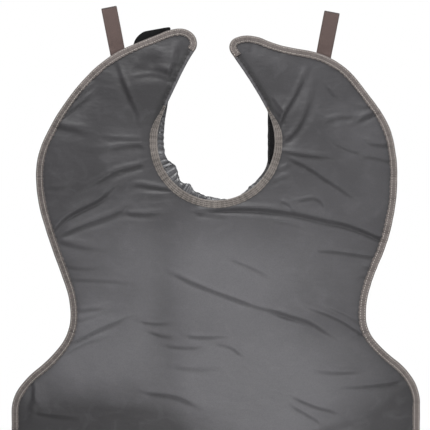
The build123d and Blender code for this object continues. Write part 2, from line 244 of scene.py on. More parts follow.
# Creases: size, width, and the places that they run through, from the deep end to the fading one. The
# side to the left of a crease's run stands out, or the side to its right where the width is below 0.
CREASE_HEIGHT = 1.7  # of a crease of size 1
CREASES = [
    # left wing
    (1.3, 6, [(-150, -84), (-142, -110), (-131, -137), (-120, -163), (-116, -188)]),
    (1.7, -9, [(-66, -100), (-86, -96), (-110, -91), (-140, -86)]),
    (1.5, 6, [(-68, -102), (-58, -78), (-54, -46)]),
    (0.8, -4, [(-67, -108), (-98, -102), (-133, -109)]),
    (1.8, 5, [(-228, -165), (-204, -146), (-184, -131), (-166, -112)]),
    (1.4, 4, [(-214, -142), (-192, -124), (-174, -108)]),
    (1.5, 8, [(-244, -178), (-211, -186), (-176, -193)]),
    (0.8, -4, [(-110, -198), (-150, -197), (-182, -194)]),
    (1.3, -6, [(-108, -209), (-121, -208), (-148, -212), (-174, -218), (-216, -215)]),
    (2.6, 6, [(-248, -341), (-223, -316), (-200, -303), (-174, -290), (-159, -278), (-140, -264),
              (-100, -252)]),
    (1.8, -6, [(-108, -236), (-121, -240), (-148, -248), (-174, -263), (-206, -281), (-232, -298)]),
    (2.0, 6, [(-244, -348), (-200, -329), (-166, -317), (-142, -307), (-124, -291), (-104, -281)]),
    (1.6, -5, [(-64, -274), (-95, -270), (-121, -268), (-146, -284)]),
    (1.5, 5, [(-136, -309), (-103, -311), (-52, -306)]),
    (0.9, -5, [(-56, -280), (-88, -284), (-132, -287)]),
    (1.0, 5, [(-250, -272), (-226, -270), (-204, -262)]),
    # left side of the chest and the waist
    (1.4, 8, [(-236, -352), (-219, -357), (-189, -364), (-146, -365)]),
    (0.8, 4, [(-216, -408), (-159, -411), (-99, -417)]),
    (0.9, 5, [(-226, -389), (-190, -392), (-150, -386)]),
    (1.2, 5, [(-206, -455), (-190, -453), (-166, -451), (-144, -440)]),
    (1.0, 4, [(-208, -470), (-193, -466), (-159, -455), (-114, -444)]),
    (1.9, 5, [(-216, -503), (-196, -493), (-170, -481), (-148, -472), (-125, -463), (-100, -462)]),
    (1.2, 5, [(-226, -521), (-196, -504), (-170, -496), (-142, -487)]),
    (1.2, 4, [(-112, -471), (-84, -474), (-48, -470)]),
    (1.3, 5, [(-98, -487), (-76, -493), (-50, -491)]),
    (1.3, 5, [(-44, -492), (-10, -495), (26, -493)]),
    (1.0, -5, [(36, -520), (17, -508), (-22, -501)]),
    (1.1, 5, [(-76, -507), (-39, -510), (-10, -508)]),
    (0.9, 7, [(-62, -540), (-24, -543), (14, -540)]),
    # middle of the chest
    (1.7, -5, [(40, -441), (6, -429), (-24, -418), (-48, -408), (-69, -399), (-102, -391)]),
    (1.2, 5, [(30, -437), (58, -448), (80, -454), (111, -463), (150, -479)]),
    (2.0, 6, [(88, -455), (111, -463), (134, -470), (152, -481), (171, -493), (196, -510)]),
    (1.8, -5, [(222, -493), (212, -487), (186, -470), (160, -459), (134, -450), (104, -434)]),
    (1.1, -5, [(216, -474), (193, -462), (170, -452), (140, -440)]),
    (0.9, 7, [(20, -378), (60, -396), (96, -420)]),
    # right wing
    (2.0, 5, [(96, -178), (107, -155), (118, -137), (130, -114), (141, -92), (152, -72)]),
    (1.8, 6, [(102, -201), (115, -193), (130, -174), (141, -148), (148, -125), (162, -92)]),
    (1.0, -4, [(99, -158), (88, -143), (78, -128)]),
    (0.9, -3.5, [(100, -168), (90, -156), (80, -140)]),
    (1.0, 4, [(164, -118), (178, -134), (200, -140)]),
    (1.9, -5, [(252, -154), (227, -164), (200, -181)]),
    (1.0, -4, [(240, -146), (220, -150), (196, -146)]),
    (1.2, -5, [(206, -165), (178, -168), (152, -180)]),
    (1.2, -6, [(216, -220), (186, -211), (156, -194)]),
    (1.5, -6, [(262, -208), (231, -206), (212, -198)]),
    (1.3, -5, [(264, -232), (231, -226), (210, -228)]),
    (1.8, 5, [(98, -217), (130, -222), (160, -226), (208, -230)]),
    (1.8, 7, [(100, -224), (135, -241), (163, -260), (186, -275), (205, -290), (226, -311)]),
    (0.9, 4, [(92, -246), (106, -240), (120, -232)]),
    (1.0, 4, [(86, -262), (100, -256), (124, -254)]),
    (1.2, 4, [(96, -291), (108, -297), (120, -314)]),
    (1.3, 4, [(120, -290), (146, -287), (158, -296), (160, -312)]),
    (2.6, 6, [(-18, -306), (21, -303), (51, -303), (85, -306), (124, -312), (164, -321), (196, -328)]),
    (2.7, -6, [(258, -352), (246, -347), (212, -333), (190, -326), (164, -321), (124, -312), (90, -307)]),
    (1.3, 4, [(-34, -308), (0, -313), (46, -317)]),
    (1.0, 7, [(84, -321), (120, -329), (152, -345)]),
    # right side of the chest and the waist
    (1.6, -5, [(244, -375), (208, -371), (178, -367), (152, -365), (142, -354)]),
    (1.5, -4, [(246, -395), (230, -391), (206, -385)]),
    (1.0, -4, [(240, -408), (222, -404), (206, -405)]),
    # hips and lap
    (1.7, 5, [(-276, -560), (-275, -575), (-279, -590), (-285, -624)]),
    (1.2, 4, [(-276, -576), (-270, -598)]),
    (1.3, 4, [(-268, -608), (-234, -613), (-194, -617)]),
    (1.7, 6, [(-106, -577), (-76, -581), (-54, -586), (-35, -596), (-8, -607)]),
    (1.5, -4, [(276, -560), (257, -564), (232, -567), (208, -569), (176, -570)]),
    (1.0, -6, [(208, -547), (171, -548), (136, -544)]),
    (1.5, 5, [(118, -585), (148, -598), (171, -605), (192, -618)]),
    (1.2, 5, [(114, -597), (145, -616), (160, -628)]),
    (1.6, 12, [(60, -655), (150, -640), (250, -612)]),
    (1.4, 12, [(-230, -720), (-120, -735), (-20, -715)]),
    (1.2, 10, [(80, -775), (170, -790), (260, -770)]),
    (1.2, 8, [(-285, -800), (-250, -820), (-232, -850)]),
    (1.1, -8, [(284, -800), (250, -822), (236, -852)]),
]


def rounded(points, parts=6):
    """More points along a smooth curve through the given ones."""
    p = np.array(points, float)
    p = np.concatenate([[2 * p[0] - p[1]], p, [2 * p[-1] - p[-2]]])
    out = []
    for a, b, c, d in zip(p, p[1:], p[2:], p[3:]):
        for u in np.arange(parts) / parts:
            squared, cubed = 2 * a - 5 * b + 4 * c - d, 3 * b - a - 3 * c + d
            out.append(0.5 * (2 * b + (c - a) * u + squared * u**2 + cubed * u**3))
    return np.array([*out, p[-2]])


def crease_height(x, z, height, width, points):
    """The height of one crease: a ridge on one side of its run and a dip along it."""
    line = rounded(points)
    reach = 5 * abs(width)
    close = (x > line[:, 0].min() - reach) & (x < line[:, 0].max() + reach)
    close &= (z > line[:, 1].min() - reach) & (z < line[:, 1].max() + reach)
    out = np.zeros_like(x)
    px, pz = x[close], z[close]
    best, side, place = np.full(len(px), 1e9), np.zeros(len(px)), np.zeros(len(px))
    count = len(line) - 1
    for i in range(count):
        a, d = line[i], line[i + 1] - line[i]
        u = np.clip(((px - a[0]) * d[0] + (pz - a[1]) * d[1]) / (d @ d), 0, 1)
        ex, ez = px - a[0] - u * d[0], pz - a[1] - u * d[1]
        far = np.hypot(ex, ez)
        nearer = far < best
        best[nearer] = far[nearer]
        side[nearer] = ((d[0] * ez - d[1] * ex) / np.hypot(*d))[nearer]
        place[nearer] = (i + u[nearer]) / count
    beyond = np.exp(-(((best - abs(side)) / abs(width)) ** 2))
    taper = smooth(place, -0.1, 0.12) * (1 - smooth(place, 0.5, 1.0)) * beyond
    u = side / (width * (0.75 + 0.5 * place))
    ridge = np.exp(-(((u - 1.15) / 0.8) ** 2)) + 0.35 * np.exp(-(((u - 2.7) / 1.6) ** 2))
    valley = np.exp(-((u / np.where(u < 0, 1.2, 0.45)) ** 2))
    out[close] = height * (ridge - 0.75 * valley) * taper
    return out


def drape(x, z, free):
    """y of the middle of the hanging laminate. free is 1 where it may crease, less where it is sewn."""
    height = np.zeros_like(x)
    for size, at, spread, turn in HILLS:
        height += size * hill(x, z, at, spread, turn)
    for size, width, points in CREASES:
        height += free * crease_height(x, z, CREASE_HEIGHT * size, width, points)
    return -height


# ---------------------------------------------------------------- mesh helpers
MOST_CORNERS = 12  # a face with more is the flat, cut end of a band


def new_mesh(name, points, faces, material, flat=None, normals=None, marks=None):
    """A smooth object from points in millimetres. flat says where each point lies on the unsewn cloth, and
    marks holds a number for each point that the material reads by name."""
    mesh = bpy.data.meshes.new(name)
    mesh.from_pydata((np.asarray(points) * MM).tolist(), [], [list(f) for f in faces])
    mesh.polygons.foreach_set("use_smooth", np.ones(len(mesh.polygons), bool))
    if flat is not None:
        attribute = mesh.attributes.new("flat", "FLOAT_VECTOR", "POINT")
        attribute.data.foreach_set("vector", (np.asarray(flat) * MM).astype(np.float32).ravel())
    for mark, values in (marks or {}).items():
        mesh.attributes.new(mark, "FLOAT", "POINT").data.foreach_set("value", values.astype(np.float32))
    if normals is not None:
        mesh.normals_split_custom_set_from_vertices(normals.tolist())
    for polygon in mesh.polygons:
        if polygon.loop_total > MOST_CORNERS:
            polygon.use_smooth = False
    mesh.materials.append(material)
    piece = bpy.data.objects.new(name, mesh)
    bpy.context.scene.collection.objects.link(piece)
    return piece


def surface_normals(points, triangles):
    """A unit normal at each point of a surface."""
    a, b, c = (points[triangles[:, k]] for k in range(3))
    across = np.cross(b - a, c - a)
    out = np.zeros_like(points)
    for k in range(3):
        np.add.at(out, triangles[:, k], across)
    return out / np.maximum(np.linalg.norm(out, axis=1), 1e-12)[:, None]


def tube_faces(rings, corners, closed=False):
    """Faces of a tube of rings: capped at both ends, or closed from its last ring to its first."""
    faces = []
    for i in range(rings if closed else rings - 1):
        here, there = i * corners, (i + 1) % rings * corners
        for j in range(corners):
            k = (j + 1) % corners
            faces.append((here + j, here + k, there + k, there + j))
    if not closed:
        faces.append(tuple(reversed(range(corners))))
        faces.append(tuple(range((rings - 1) * corners, rings * corners)))
    return faces


def outward(points, faces):
    """The faces, turned so that the closed mesh's normals point out."""
    total = 0.0
    for face in faces:
        a = points[face[0]]
        for b, c in zip(face[1:], face[2:]):
            total += np.dot(a, np.cross(points[b], points[c]))
    return faces if total > 0 else [tuple(reversed(face)) for face in faces]


class Flat:
    """Triangles over the inside of an edge, split along level lines, as the cloth lies before it hangs."""

    def __init__(self, edge, inset, step, levels):
        rim = edge.p + edge.n * inset
        ring, nxt = [], np.roll(rim, -1, 0)
        for a, b in zip(rim, nxt):
            ring.append(a)
            crossed = [v for v in levels if (a[1] - v) * (b[1] - v) < 0]
            for v in sorted(crossed, key=lambda v: abs(v - a[1])):
                ring.append(a + (b - a) * (v - a[1]) / (b[1] - a[1]))
        ring = np.array(ring)
        points, edges = list(map(tuple, ring)), []
        for v in levels:
            ends = sorted((p[0], i) for i, p in enumerate(ring) if abs(p[1] - v) < 1e-6)
            for (x0, i), (x1, j) in zip(ends[::2], ends[1::2]):
                row = np.linspace(x0, x1, max(2, round((x1 - x0) / step) + 1))[1:-1]
                first = len(points)
                points += [(x, v) for x in row]
                chain = [i, *range(first, first + len(row)), j]
                edges += list(zip(chain, chain[1:]))
        rise = step * math.sqrt(3) / 2
        zs = np.arange(rim[:, 1].min(), rim[:, 1].max(), rise)
        xs = np.arange(rim[:, 0].min(), rim[:, 0].max(), step)
        gx = (xs[None, :] + (np.arange(len(zs)) % 2)[:, None] * step / 2).ravel()
        gz = np.repeat(zs, len(xs))
        deep = edge.depth(gx, gz)[0] > inset + 0.6 * step
        for v in levels:
            deep &= abs(gz - v) > 0.5 * rise
        points += list(zip(gx[deep], gz[deep]))
        made = delaunay_2d_cdt([Vector(p) for p in points], edges, [list(range(len(ring)))], 1, 1e-5, True)
        self.xz = np.array([tuple(v) for v in made[0]])
        self.triangles = np.array([face for face, inside in zip(made[2], made[5]) if inside])
        self.depth, self.along = edge.depth(self.xz[:, 0], self.xz[:, 1])
        middle = self.xz[self.triangles].mean(1)
        self.zone = zone_mask(middle[:, 0], middle[:, 1])


def slab(name, flat, zone, front, back, material):
    """One zone of a layer as a closed slab, given y of its two faces at each point of the flat."""
    triangles = flat.triangles[flat.zone == ZONES.index(zone)]
    used, local = np.unique(triangles, return_inverse=True)
    local = local.reshape(-1, 3)
    count = len(used)
    points, normals = [], []
    for y, sign in ((front, -1.0), (back, 1.0)):
        whole = np.stack([flat.xz[:, 0], y, flat.xz[:, 1]], 1)
        normal = surface_normals(whole, flat.triangles)
        normal *= sign * np.sign(np.median(normal[:, 1]) or 1)
        points.append(whole[used])
        normals.append(normal[used])
    points, normals = np.concatenate(points), np.concatenate(normals)
    a, b, c = (points[local[:, k]] for k in range(3))
    if np.cross(b - a, c - a)[:, 1].sum() > 0:
        local = local[:, ::-1]
    sides = np.concatenate([local[:, [0, 1]], local[:, [1, 2]], local[:, [2, 0]]])
    key = np.sort(sides, axis=1)
    _, first, uses = np.unique(key, axis=0, return_index=True, return_counts=True)
    rim = sides[first[uses == 1]]
    faces = [*local.tolist(), *(local[:, ::-1] + count).tolist()]
    faces += [(b, a, a + count, b + count) for a, b in rim.tolist()]
    where = np.stack([flat.xz[used, 0], flat.xz[used, 1], np.zeros(count)], 1)
    # painted shade beside the binding, fading inwards from the edge
    marks = {"soil_and_shade": np.tile(np.exp(-np.maximum(flat.depth[used] - 9.5, 0) / 2.6), 2)}
    # painted light and shade, partly wear, stored for both faces
    marks["wear_and_painted_light"] = np.tile(wear_and_painted_light(flat.xz[used, 0], flat.xz[used, 1]), 2)
    where = np.concatenate([where, where + [0, 0, 50]])
    piece = new_mesh(name, points, faces, material, where, normals, marks)
    corner = flat.xz[flat.triangles[flat.zone == ZONES.index(zone)]]
    e1, e2 = corner[:, 1] - corner[:, 0], corner[:, 2] - corner[:, 0]
    area = abs(e1[:, 0] * e2[:, 1] - e1[:, 1] * e2[:, 0]).sum() / 2
    size = corner.reshape(-1, 2).max(0) - corner.reshape(-1, 2).min(0)
    piece["cut"] = [size[0] * MM, size[1] * MM, min(area, size[0] * size[1]) * MM * MM]
    return piece


def strip(name, edge, stations, profile, surface, material, vary=None):
    """A closed band along an edge. profile lists (inset, offset from the surface) round its section."""
    profile = np.array(profile, float)
    inset = np.tile(profile[:, 0], (len(stations), 1))
    offset = np.tile(profile[:, 1], (len(stations), 1))
    if vary is not None:
        inset, offset = vary(edge.s[stations], inset, offset)
    place = edge.p[stations][:, None, :] + edge.n[stations][:, None, :] * inset[:, :, None]
    y = surface(place[:, :, 0], place[:, :, 1]) + offset
    points = np.stack([place[:, :, 0], y, place[:, :, 1]], 2).reshape(-1, 3)
    rows, cols = len(stations), len(profile)
    around = np.concatenate([[0], np.cumsum(np.linalg.norm(np.diff(profile, axis=0), axis=1))])
    s = edge.s[stations]
    s = s + edge.length * (s < s[0])
    flat = np.stack([np.repeat(s, cols), np.tile(around, rows), np.zeros(rows * cols)], 1)
    proud = np.abs(profile[:, 1] - profile[:, 1].mean())
    # painted shade in the grooves of the band's section, and painted light and shade along its puckers
    groove_shade = smooth(proud.max() - proud, 0.2, 0.7) * (profile[:, 0] > 1.5)
    on_face = profile[:, 0] > 1
    soil_and_shade = np.tile(groove_shade, (rows, 1)) * 0.8 - 0.4 * puckered(edge, s)[:, None] * on_face
    soil_and_shade += 0.5 * smooth(-edge.p[stations, 0], 150, 230)[:, None]  # darker towards the left
    soil_and_shade += 0.3 * ripple(s, edge.length, 5, 71)[:, None] * on_face
    painted_rim_highlight = smooth(3.6 - profile[:, 0], 0, 1.6)  # painted highlight near the outer rim
    marks = {"soil_and_shade": soil_and_shade.ravel(), "wear_and_painted_light": np.tile(painted_rim_highlight, rows)}
    return new_mesh(name, points, outward(points, tube_faces(rows, cols)), material, flat, marks=marks)


# The rings of one stitch: how far along it, how wide and how high, as shares of its length and thickness.
STITCH_RINGS = [
    (-0.02, 0.25, -0.5), (0.12, 0.8, -0.1), (0.5, 1.0, 0.15), (0.88, 0.8, -0.1), (1.02, 0.25, -0.5),
]


def stitch_mesh(name, starts, ends, normals, material, thick=0.5):
    """Stitches as short rounded threads, from starts to ends, lying on a surface with those normals."""
    starts, ends, normals = (np.asarray(v, float) for v in (starts, ends, normals))
    along = ends - starts
    side = np.cross(along, normals)
    side /= np.linalg.norm(side, axis=1)[:, None]
    corners = 6
    points, faces = [], []
    turn = np.arange(corners) / corners * 2 * np.pi
    for at, wide, lift in STITCH_RINGS:
        centre = starts + along * at + normals * thick * lift
        for a in turn:
            points.append(centre + (side * math.cos(a) + normals * math.sin(a)) * thick * wide)
    points = np.stack(points, 1)
    per = len(STITCH_RINGS) * corners
    base = outward(points[0], tube_faces(len(STITCH_RINGS), corners))
    for i in range(len(starts)):
        faces += [tuple(v + i * per for v in f) for f in base]
    flat = np.tile(np.array([[at * 3, 0, 0] for at, _, _ in STITCH_RINGS for _ in turn]), (len(starts), 1))
    return new_mesh(name, points.reshape(-1, 3), faces, material, flat)


def edge_stitches(name, edge, stations, inset, offset, surface, material, pitch=3.6, gap=1.2, sides=(-1, 1),
                  width=None):
    """A row of stitches along an edge, on the front (-1) and the back (1) of a band that may narrow."""
    s = np.unwrap(edge.s[stations], period=edge.length)
    at = np.arange(s[0] + gap / 2, s[-1] - pitch + gap, pitch)
    starts, ends, normals = [], [], []
    for side in sides:
        for shift, out in ((0, starts), (pitch - gap, ends)):
            u = at + shift
            p = np.stack([np.interp(u, s, edge.p[stations, k]) for k in range(2)], 1)
            n = np.stack([np.interp(u, s, edge.n[stations, k]) for k in range(2)], 1)
            xz = p + n * inset * (width(u)[:, None] if width else 1)
            y = surface(xz[:, 0], xz[:, 1]) + side * offset
            out.append(np.stack([xz[:, 0], y, xz[:, 1]], 1))
        normals.append(np.tile([0, side, 0], (len(at), 1)))
    starts, ends, normals = (np.concatenate(v) for v in (starts, ends, normals))
    return stitch_mesh(name, starts, ends, normals, material)


# ---------------------------------------------------------------- materials
def srgb(red, green, blue):
    """A colour given as a screen shows it, 0 to 255, as the shaders take it."""
    values = (red, green, blue)
    return tuple(((v / 255 + 0.055) / 1.055) ** 2.4 if v > 10 else v / 3294 for v in values) + (1,)


def shade(colour, times):
    """A colour that many times as bright."""
    return tuple(min(1, c * times) for c in colour[:3]) + (1,)


class Look:
    """A material being made. Each method adds a node and returns its output."""

    def __init__(self, name, **shader):
        self.material = bpy.data.materials.new(name)
        self.material.use_nodes = True
        self.tree = self.material.node_tree
        self.shader = self.tree.nodes["Principled BSDF"]
        for socket, value in shader.items():
            self.shader.inputs[socket.replace("_", " ")].default_value = value
        self.flat = self.node("ShaderNodeAttribute", {}, "Vector", attribute_name="flat")

    def node(self, kind, inputs, output, **settings):
        made = self.tree.nodes.new(kind)
        for key, value in settings.items():
            setattr(made, key, value)
        for key, value in inputs.items():
            if isinstance(value, bpy.types.NodeSocket):
                self.tree.links.new(value, made.inputs[key])
            else:
                made.inputs[key].default_value = value
        return made.outputs[output]

    def mark(self, name):
        """The number that each mesh stores under that name, or 0."""
        return self.node("ShaderNodeAttribute", {}, "Fac", attribute_name=name)

    def math(self, operation, a, b=0.0):
        return self.node("ShaderNodeMath", {0: a, 1: b}, 0, operation=operation)

    def stretch(self, x=1.0, y=1.0, z=1.0, turn=0.0):
        """The flat places, scaled, and turned by that angle in degrees."""
        inputs = {"Vector": self.flat, "Scale": (x, y, z), "Rotation": (0, 0, math.radians(turn))}
        return self.node("ShaderNodeMapping", inputs, "Vector")

    def noise(self, size, detail=2.0, vector=None, distortion=0.0):
        """Noise whose blobs are about that many millimetres across."""
        inputs = {"Scale": 1 / (size * MM), "Detail": detail, "Distortion": distortion}
        return self.node("ShaderNodeTexNoise", {**inputs, "Vector": vector or self.flat}, "Fac")

    def cells(self, size, feature="F1", vector=None):
        """Distance to the nearest of scattered points that are about that many millimetres apart."""
        inputs = {"Scale": 1 / (size * MM), "Vector": vector or self.flat}
        return self.node("ShaderNodeTexVoronoi", inputs, "Distance", feature=feature)

    def ribs(self, pitch, axis="X", distortion=0.0, vector=None):
        """Parallel ribs, one for each pitch in millimetres."""
        inputs = {"Scale": math.pi / (10 * pitch * MM), "Distortion": distortion}
        inputs["Vector"] = vector or self.flat
        return self.node("ShaderNodeTexWave", inputs, "Fac", bands_direction=axis)

    def level(self, value, low, high, to_low=0.0, to_high=1.0):
        """The value, moved from the range low..high to to_low..to_high."""
        return self.node("ShaderNodeMapRange", {0: value, 1: low, 2: high, 3: to_low, 4: to_high}, 0)

    def mix(self, share, a, b):
        inputs = {0: share, 6: a, 7: b}
        return self.node("ShaderNodeMix", inputs, 2, data_type="RGBA")

    def tint(self, tone, share, most, colour):
        """The tone, turned towards a colour by at most that much, where share is 1."""
        return self.mix(self.math("MULTIPLY", share, most), tone, colour)

    def bump(self, height, depth, under=None):
        """Relief that is depth millimetres deep, on top of the relief under it."""
        inputs = {"Height": height, "Distance": depth * MM, "Strength": 1.0}
        if under:
            inputs["Normal"] = under
        return self.node("ShaderNodeBump", inputs, "Normal")

    def finish(self, colour, roughness, normal):
        for socket, output in (("Base Color", colour), ("Roughness", roughness), ("Normal", normal)):
            self.tree.links.new(output, self.shader.inputs[socket])
        return self.material


def vinyl(name, dark, pale, gloss=0.46):
    """Coated cloth: pebbled grain and faint creasing, paler or darker by a mark of wear with painted light
    and shade, and darker by a mark of painted shade beside the binding and in grooves, with some soil.
    """
    look = Look(name, Specular_IOR_Level=0.36, Sheen_Weight=0.04, Sheen_Roughness=0.4)
    cloud = look.noise(110, 4)
    scuff = look.level(look.noise(24, 6, distortion=0.6), 0.52, 0.78)
    # this mark holds painted light and shade with some wear, and a painted highlight along the rims of
    # rolled edges
    pale_share = look.math("ADD", look.mark("wear_and_painted_light"), look.level(cloud, 0.25, 0.75, -0.16, 0.16))
    tone = look.mix(pale_share, dark, pale)
    tone = look.tint(tone, scuff, 0.16, shade(pale, 1.4))
    pores = look.level(look.cells(1.3, "SMOOTH_F1"), 0.1, 0.6)
    tone = look.tint(tone, pores, 0.14, shade(dark, 0.5))
    # painted shade beside the binding, in the grooves of rolled edges and along their puckers, with some
    # soil
    tone = look.tint(tone, look.mark("soil_and_shade"), 0.7, shade(dark, 0.3))
    weave = look.math("MULTIPLY", look.ribs(1.1, "X", 1.0), look.ribs(1.1, "Y", 1.0))
    normal = look.bump(look.noise(10, 4, look.stretch(1.0, 1.6, 1.0, 20)), 0.3)
    normal = look.bump(look.noise(42, 2, look.stretch(1.0, 2.0, 1.0, -15)), 1.6, normal)
    normal = look.bump(pores, 0.05, normal)
    normal = look.bump(weave, 0.015, normal)
    rough = look.math("ADD", cloud, look.math("MULTIPLY", pores, 0.3))
    return look.finish(tone, look.level(rough, 0.3, 0.9, gloss, gloss + 0.14), normal)


def tape(name, colour, dark, pitch=1.15):
    """Ribbed binding tape, with its ribs across it and a fuzzy, slightly soiled face, darkened by painted
    shade in its grooves and along its puckers.
    """
    look = Look(name, Specular_IOR_Level=0.3, Sheen_Weight=0.3, Sheen_Roughness=0.45)
    ribs = look.ribs(pitch, "X", 0.5)
    warp = look.ribs(0.62, "Y", 0.8)
    soil_and_shade = look.noise(30, 4)
    fibre = look.noise(0.7, 3, look.stretch(1.0, 0.35))
    tone = look.mix(look.level(ribs, 0.1, 0.8), dark, colour)
    tone = look.tint(tone, look.level(soil_and_shade, 0.45, 0.7), 0.35, dark)
    tone = look.mix(look.level(fibre, 0.35, 0.8, 0.0, 0.25), tone, shade(colour, 1.35))
    # painted shade in the grooves and along the puckers, with some soil
    tone = look.tint(tone, look.mark("soil_and_shade"), 0.6, shade(dark, 0.5))
    normal = look.bump(ribs, 0.22)
    normal = look.bump(warp, 0.06, normal)
    normal = look.bump(fibre, 0.08, normal)
    return look.finish(tone, look.level(soil_and_shade, 0.3, 0.7, 0.66, 0.84), normal)


def webbing(name, colour, dark):
    """Brown webbing in herringbone: twill columns that turn back, darker at its edges."""
    look = Look(name, Specular_IOR_Level=0.35, Sheen_Weight=0.25, Sheen_Roughness=0.4)
    place = look.node("ShaderNodeSeparateXYZ", {0: look.flat}, "X")
    across = place.node.outputs["Y"]
    column = look.math("PINGPONG", across, 3.3 * MM)
    slant = look.math("ADD", place, look.math("MULTIPLY", column, 0.9))
    twill = look.math("SINE", look.math("MULTIPLY", slant, 2 * math.pi / (1.5 * MM)))
    ends = look.ribs(0.75, "Y", 0.3)
    yarn = look.math("MULTIPLY", look.level(twill, -1, 1), look.level(ends, 0, 1, 0.55, 1))
    edge = look.level(look.math("ABSOLUTE", across), 9.3 * MM, 11.2 * MM)
    fibre = look.noise(0.6, 4, look.stretch(0.3, 1.0))
    tone = look.mix(look.level(yarn, 0.15, 0.85), dark, colour)
    tone = look.tint(tone, edge, 0.45, dark)
    tone = look.mix(look.level(fibre, 0.4, 0.8, 0.0, 0.3), tone, shade(colour, 1.4))
    # painted shadow where a loop folds over at its top
    tone = look.tint(tone, look.mark("soil_and_shade"), 0.85, shade(dark, 0.3))
    normal = look.bump(yarn, 0.3)
    normal = look.bump(fibre, 0.08, normal)
    return look.finish(tone, look.level(fibre, 0.3, 0.7, 0.6, 0.8), normal)


def fastening(name, colour, size, depth):
    """One half of a hook-and-loop fastening: a dense pile on a woven ground."""
    look = Look(name, Specular_IOR_Level=0.12, Sheen_Weight=0.02, Sheen_Roughness=0.5)
    pile = look.cells(size)
    lint = look.level(look.noise(5, 7, look.stretch(1, 0.3, 1, 40)), 0.62, 0.8)
    lines = look.ribs(3.2, "X", 0.6, look.stretch(1, 1, 1, 50))
    tone = look.mix(look.level(pile, 0.1, 0.7), shade(colour, 1.6), colour)
    tone = look.tint(tone, lines, 0.18, shade(colour, 3))
    tone = look.tint(tone, lint, 0.12, srgb(80, 78, 78))
    normal = look.bump(look.math("SUBTRACT", 1.0, pile), depth)
    normal = look.bump(look.noise(0.4, 3), 0.2, normal)
    return look.finish(tone, look.level(lint, 0, 1, 0.62, 0.8), normal)


def nylon(name, colour, dark):
    """Soft coated nylon of the collar, with a silvery shine along its gathers, and painted shade in the
    hollows and painted highlight on the crests of the folds that its bump raises.
    """
    look = Look(name, Specular_IOR_Level=0.6, Sheen_Weight=0.35, Sheen_Roughness=0.3)
    weave = look.math("MULTIPLY", look.ribs(0.8, "X", 0.4), look.ribs(0.8, "Y", 0.4))
    fold = look.noise(5, 4, look.stretch(1.4, 0.5))
    # painted shade and highlight: darker in the hollows of the fold relief, paler on its crests
    tone = look.mix(look.level(fold, 0.35, 0.65), dark, colour)
    tone = look.tint(tone, weave, 0.2, shade(colour, 1.5))
    normal = look.bump(fold, 1.1)
    normal = look.bump(weave, 0.06, normal)
    return look.finish(tone, look.level(fold, 0.3, 0.7, 0.3, 0.46), normal)


def thread(name, colour):
    """Twisted sewing thread."""
    look = Look(name, Specular_IOR_Level=0.4, Sheen_Weight=0.2, Sheen_Roughness=0.4)
    twist = look.ribs(0.7, "DIAGONAL", 0.2)
    fibre = look.noise(0.4, 2)
    tone = look.mix(look.level(twist, 0.2, 0.8), shade(colour, 0.6), colour)
    normal = look.bump(fibre, 0.05, look.bump(twist, 0.12))
    return look.finish(tone, look.level(fibre, 0.3, 0.7, 0.5, 0.7), normal)


FRONT_VINYL = vinyl("front_vinyl_look", srgb(46, 45, 47), srgb(90, 89, 92))
BACK_VINYL = vinyl("back_vinyl_look", srgb(60, 59, 62), srgb(88, 87, 91), 0.5)
SHIELDING = vinyl("lead_vinyl_look", srgb(46, 47, 50), srgb(58, 59, 62), 0.6)
TAUPE = tape("taupe_tape_look", srgb(120, 112, 109), srgb(66, 60, 58))
NECK_TAPE = tape("neck_tape_look", srgb(136, 129, 124), srgb(72, 67, 64))
COLLAR_TAPE = tape("collar_tape_look", srgb(74, 72, 73), srgb(38, 37, 38), 1.5)
BROWN = webbing("webbing_look", srgb(104, 86, 82), srgb(56, 45, 42))
HOOKS = fastening("hook_tape_look", srgb(7, 7, 8), 0.9, 0.5)
LOOPS = fastening("loop_tape_look", srgb(6, 6, 7), 1.6, 0.8)
# the second colour is the painted shade in the hollows of the nylon's folds
NYLON = nylon("collar_nylon_look", srgb(76, 76, 79), srgb(28, 28, 30))
TAUPE_THREAD = thread("taupe_thread_look", srgb(196, 189, 181))
NECK_THREAD = thread("neck_thread_look", srgb(50, 46, 44))
DARK_THREAD = thread("dark_thread_look", srgb(38, 36, 36))
BLACK_THREAD = thread("black_thread_look", srgb(24, 24, 25))
BROWN_THREAD = thread("brown_thread_look", srgb(70, 58, 55))


# ---------------------------------------------------------------- pieces
CALM = [((-148, -64), 34), ((161, -68), 34), ((-97, -81), 18)]  # flat where the loops and the tab bend
SEWN_FREEDOM = 0.4  # how high a crease stands under the binding, as a share of its height


def hang(x, z):
    """y of the middle of the hanging laminate, with the puckers that its bound edge puts into it."""
    shape = np.shape(x)
    x, z = np.ravel(x).astype(float), np.ravel(z).astype(float)
    depth, along = apron_edge.depth(x, z)
    depth = np.maximum(depth, 0)
    pucker = 0.8 * np.exp(-depth / 15) * ripple(along, apron_edge.length, 9, 11)
    pucker += 0.7 * np.exp(-depth / 30) * ripple(along, apron_edge.length, 26, 12)
    y = drape(x, z, SEWN_FREEDOM + (1 - SEWN_FREEDOM) * smooth(depth, 5, 16)) - pucker
    for at, size in CALM:
        y *= 1 - hill(x, z, at, (size, size))
    return y.reshape(shape)


def pillow(depth, height, start=8.0, width=15.0):
    """How far a face swells away from its bound edge."""
    return height * (1 - np.exp(-((np.maximum(depth - start, 0) / width) ** 2)))


def finish_piece(piece, zone, slot, *nodes):
    """Attaches a piece as its zone says and hides the CAD nodes that it replaces. slot is not used."""
    attach(piece, zone)
    if nodes:
        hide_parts(*nodes)
    return piece


LEVELS = (WING_CUT, LAP_CUT)
COLLAR_ZONES = ("left_wing", "right_wing", "chest")
GAP = 0.1  # how far a cover keeps from the shielding beside it in the CAD model


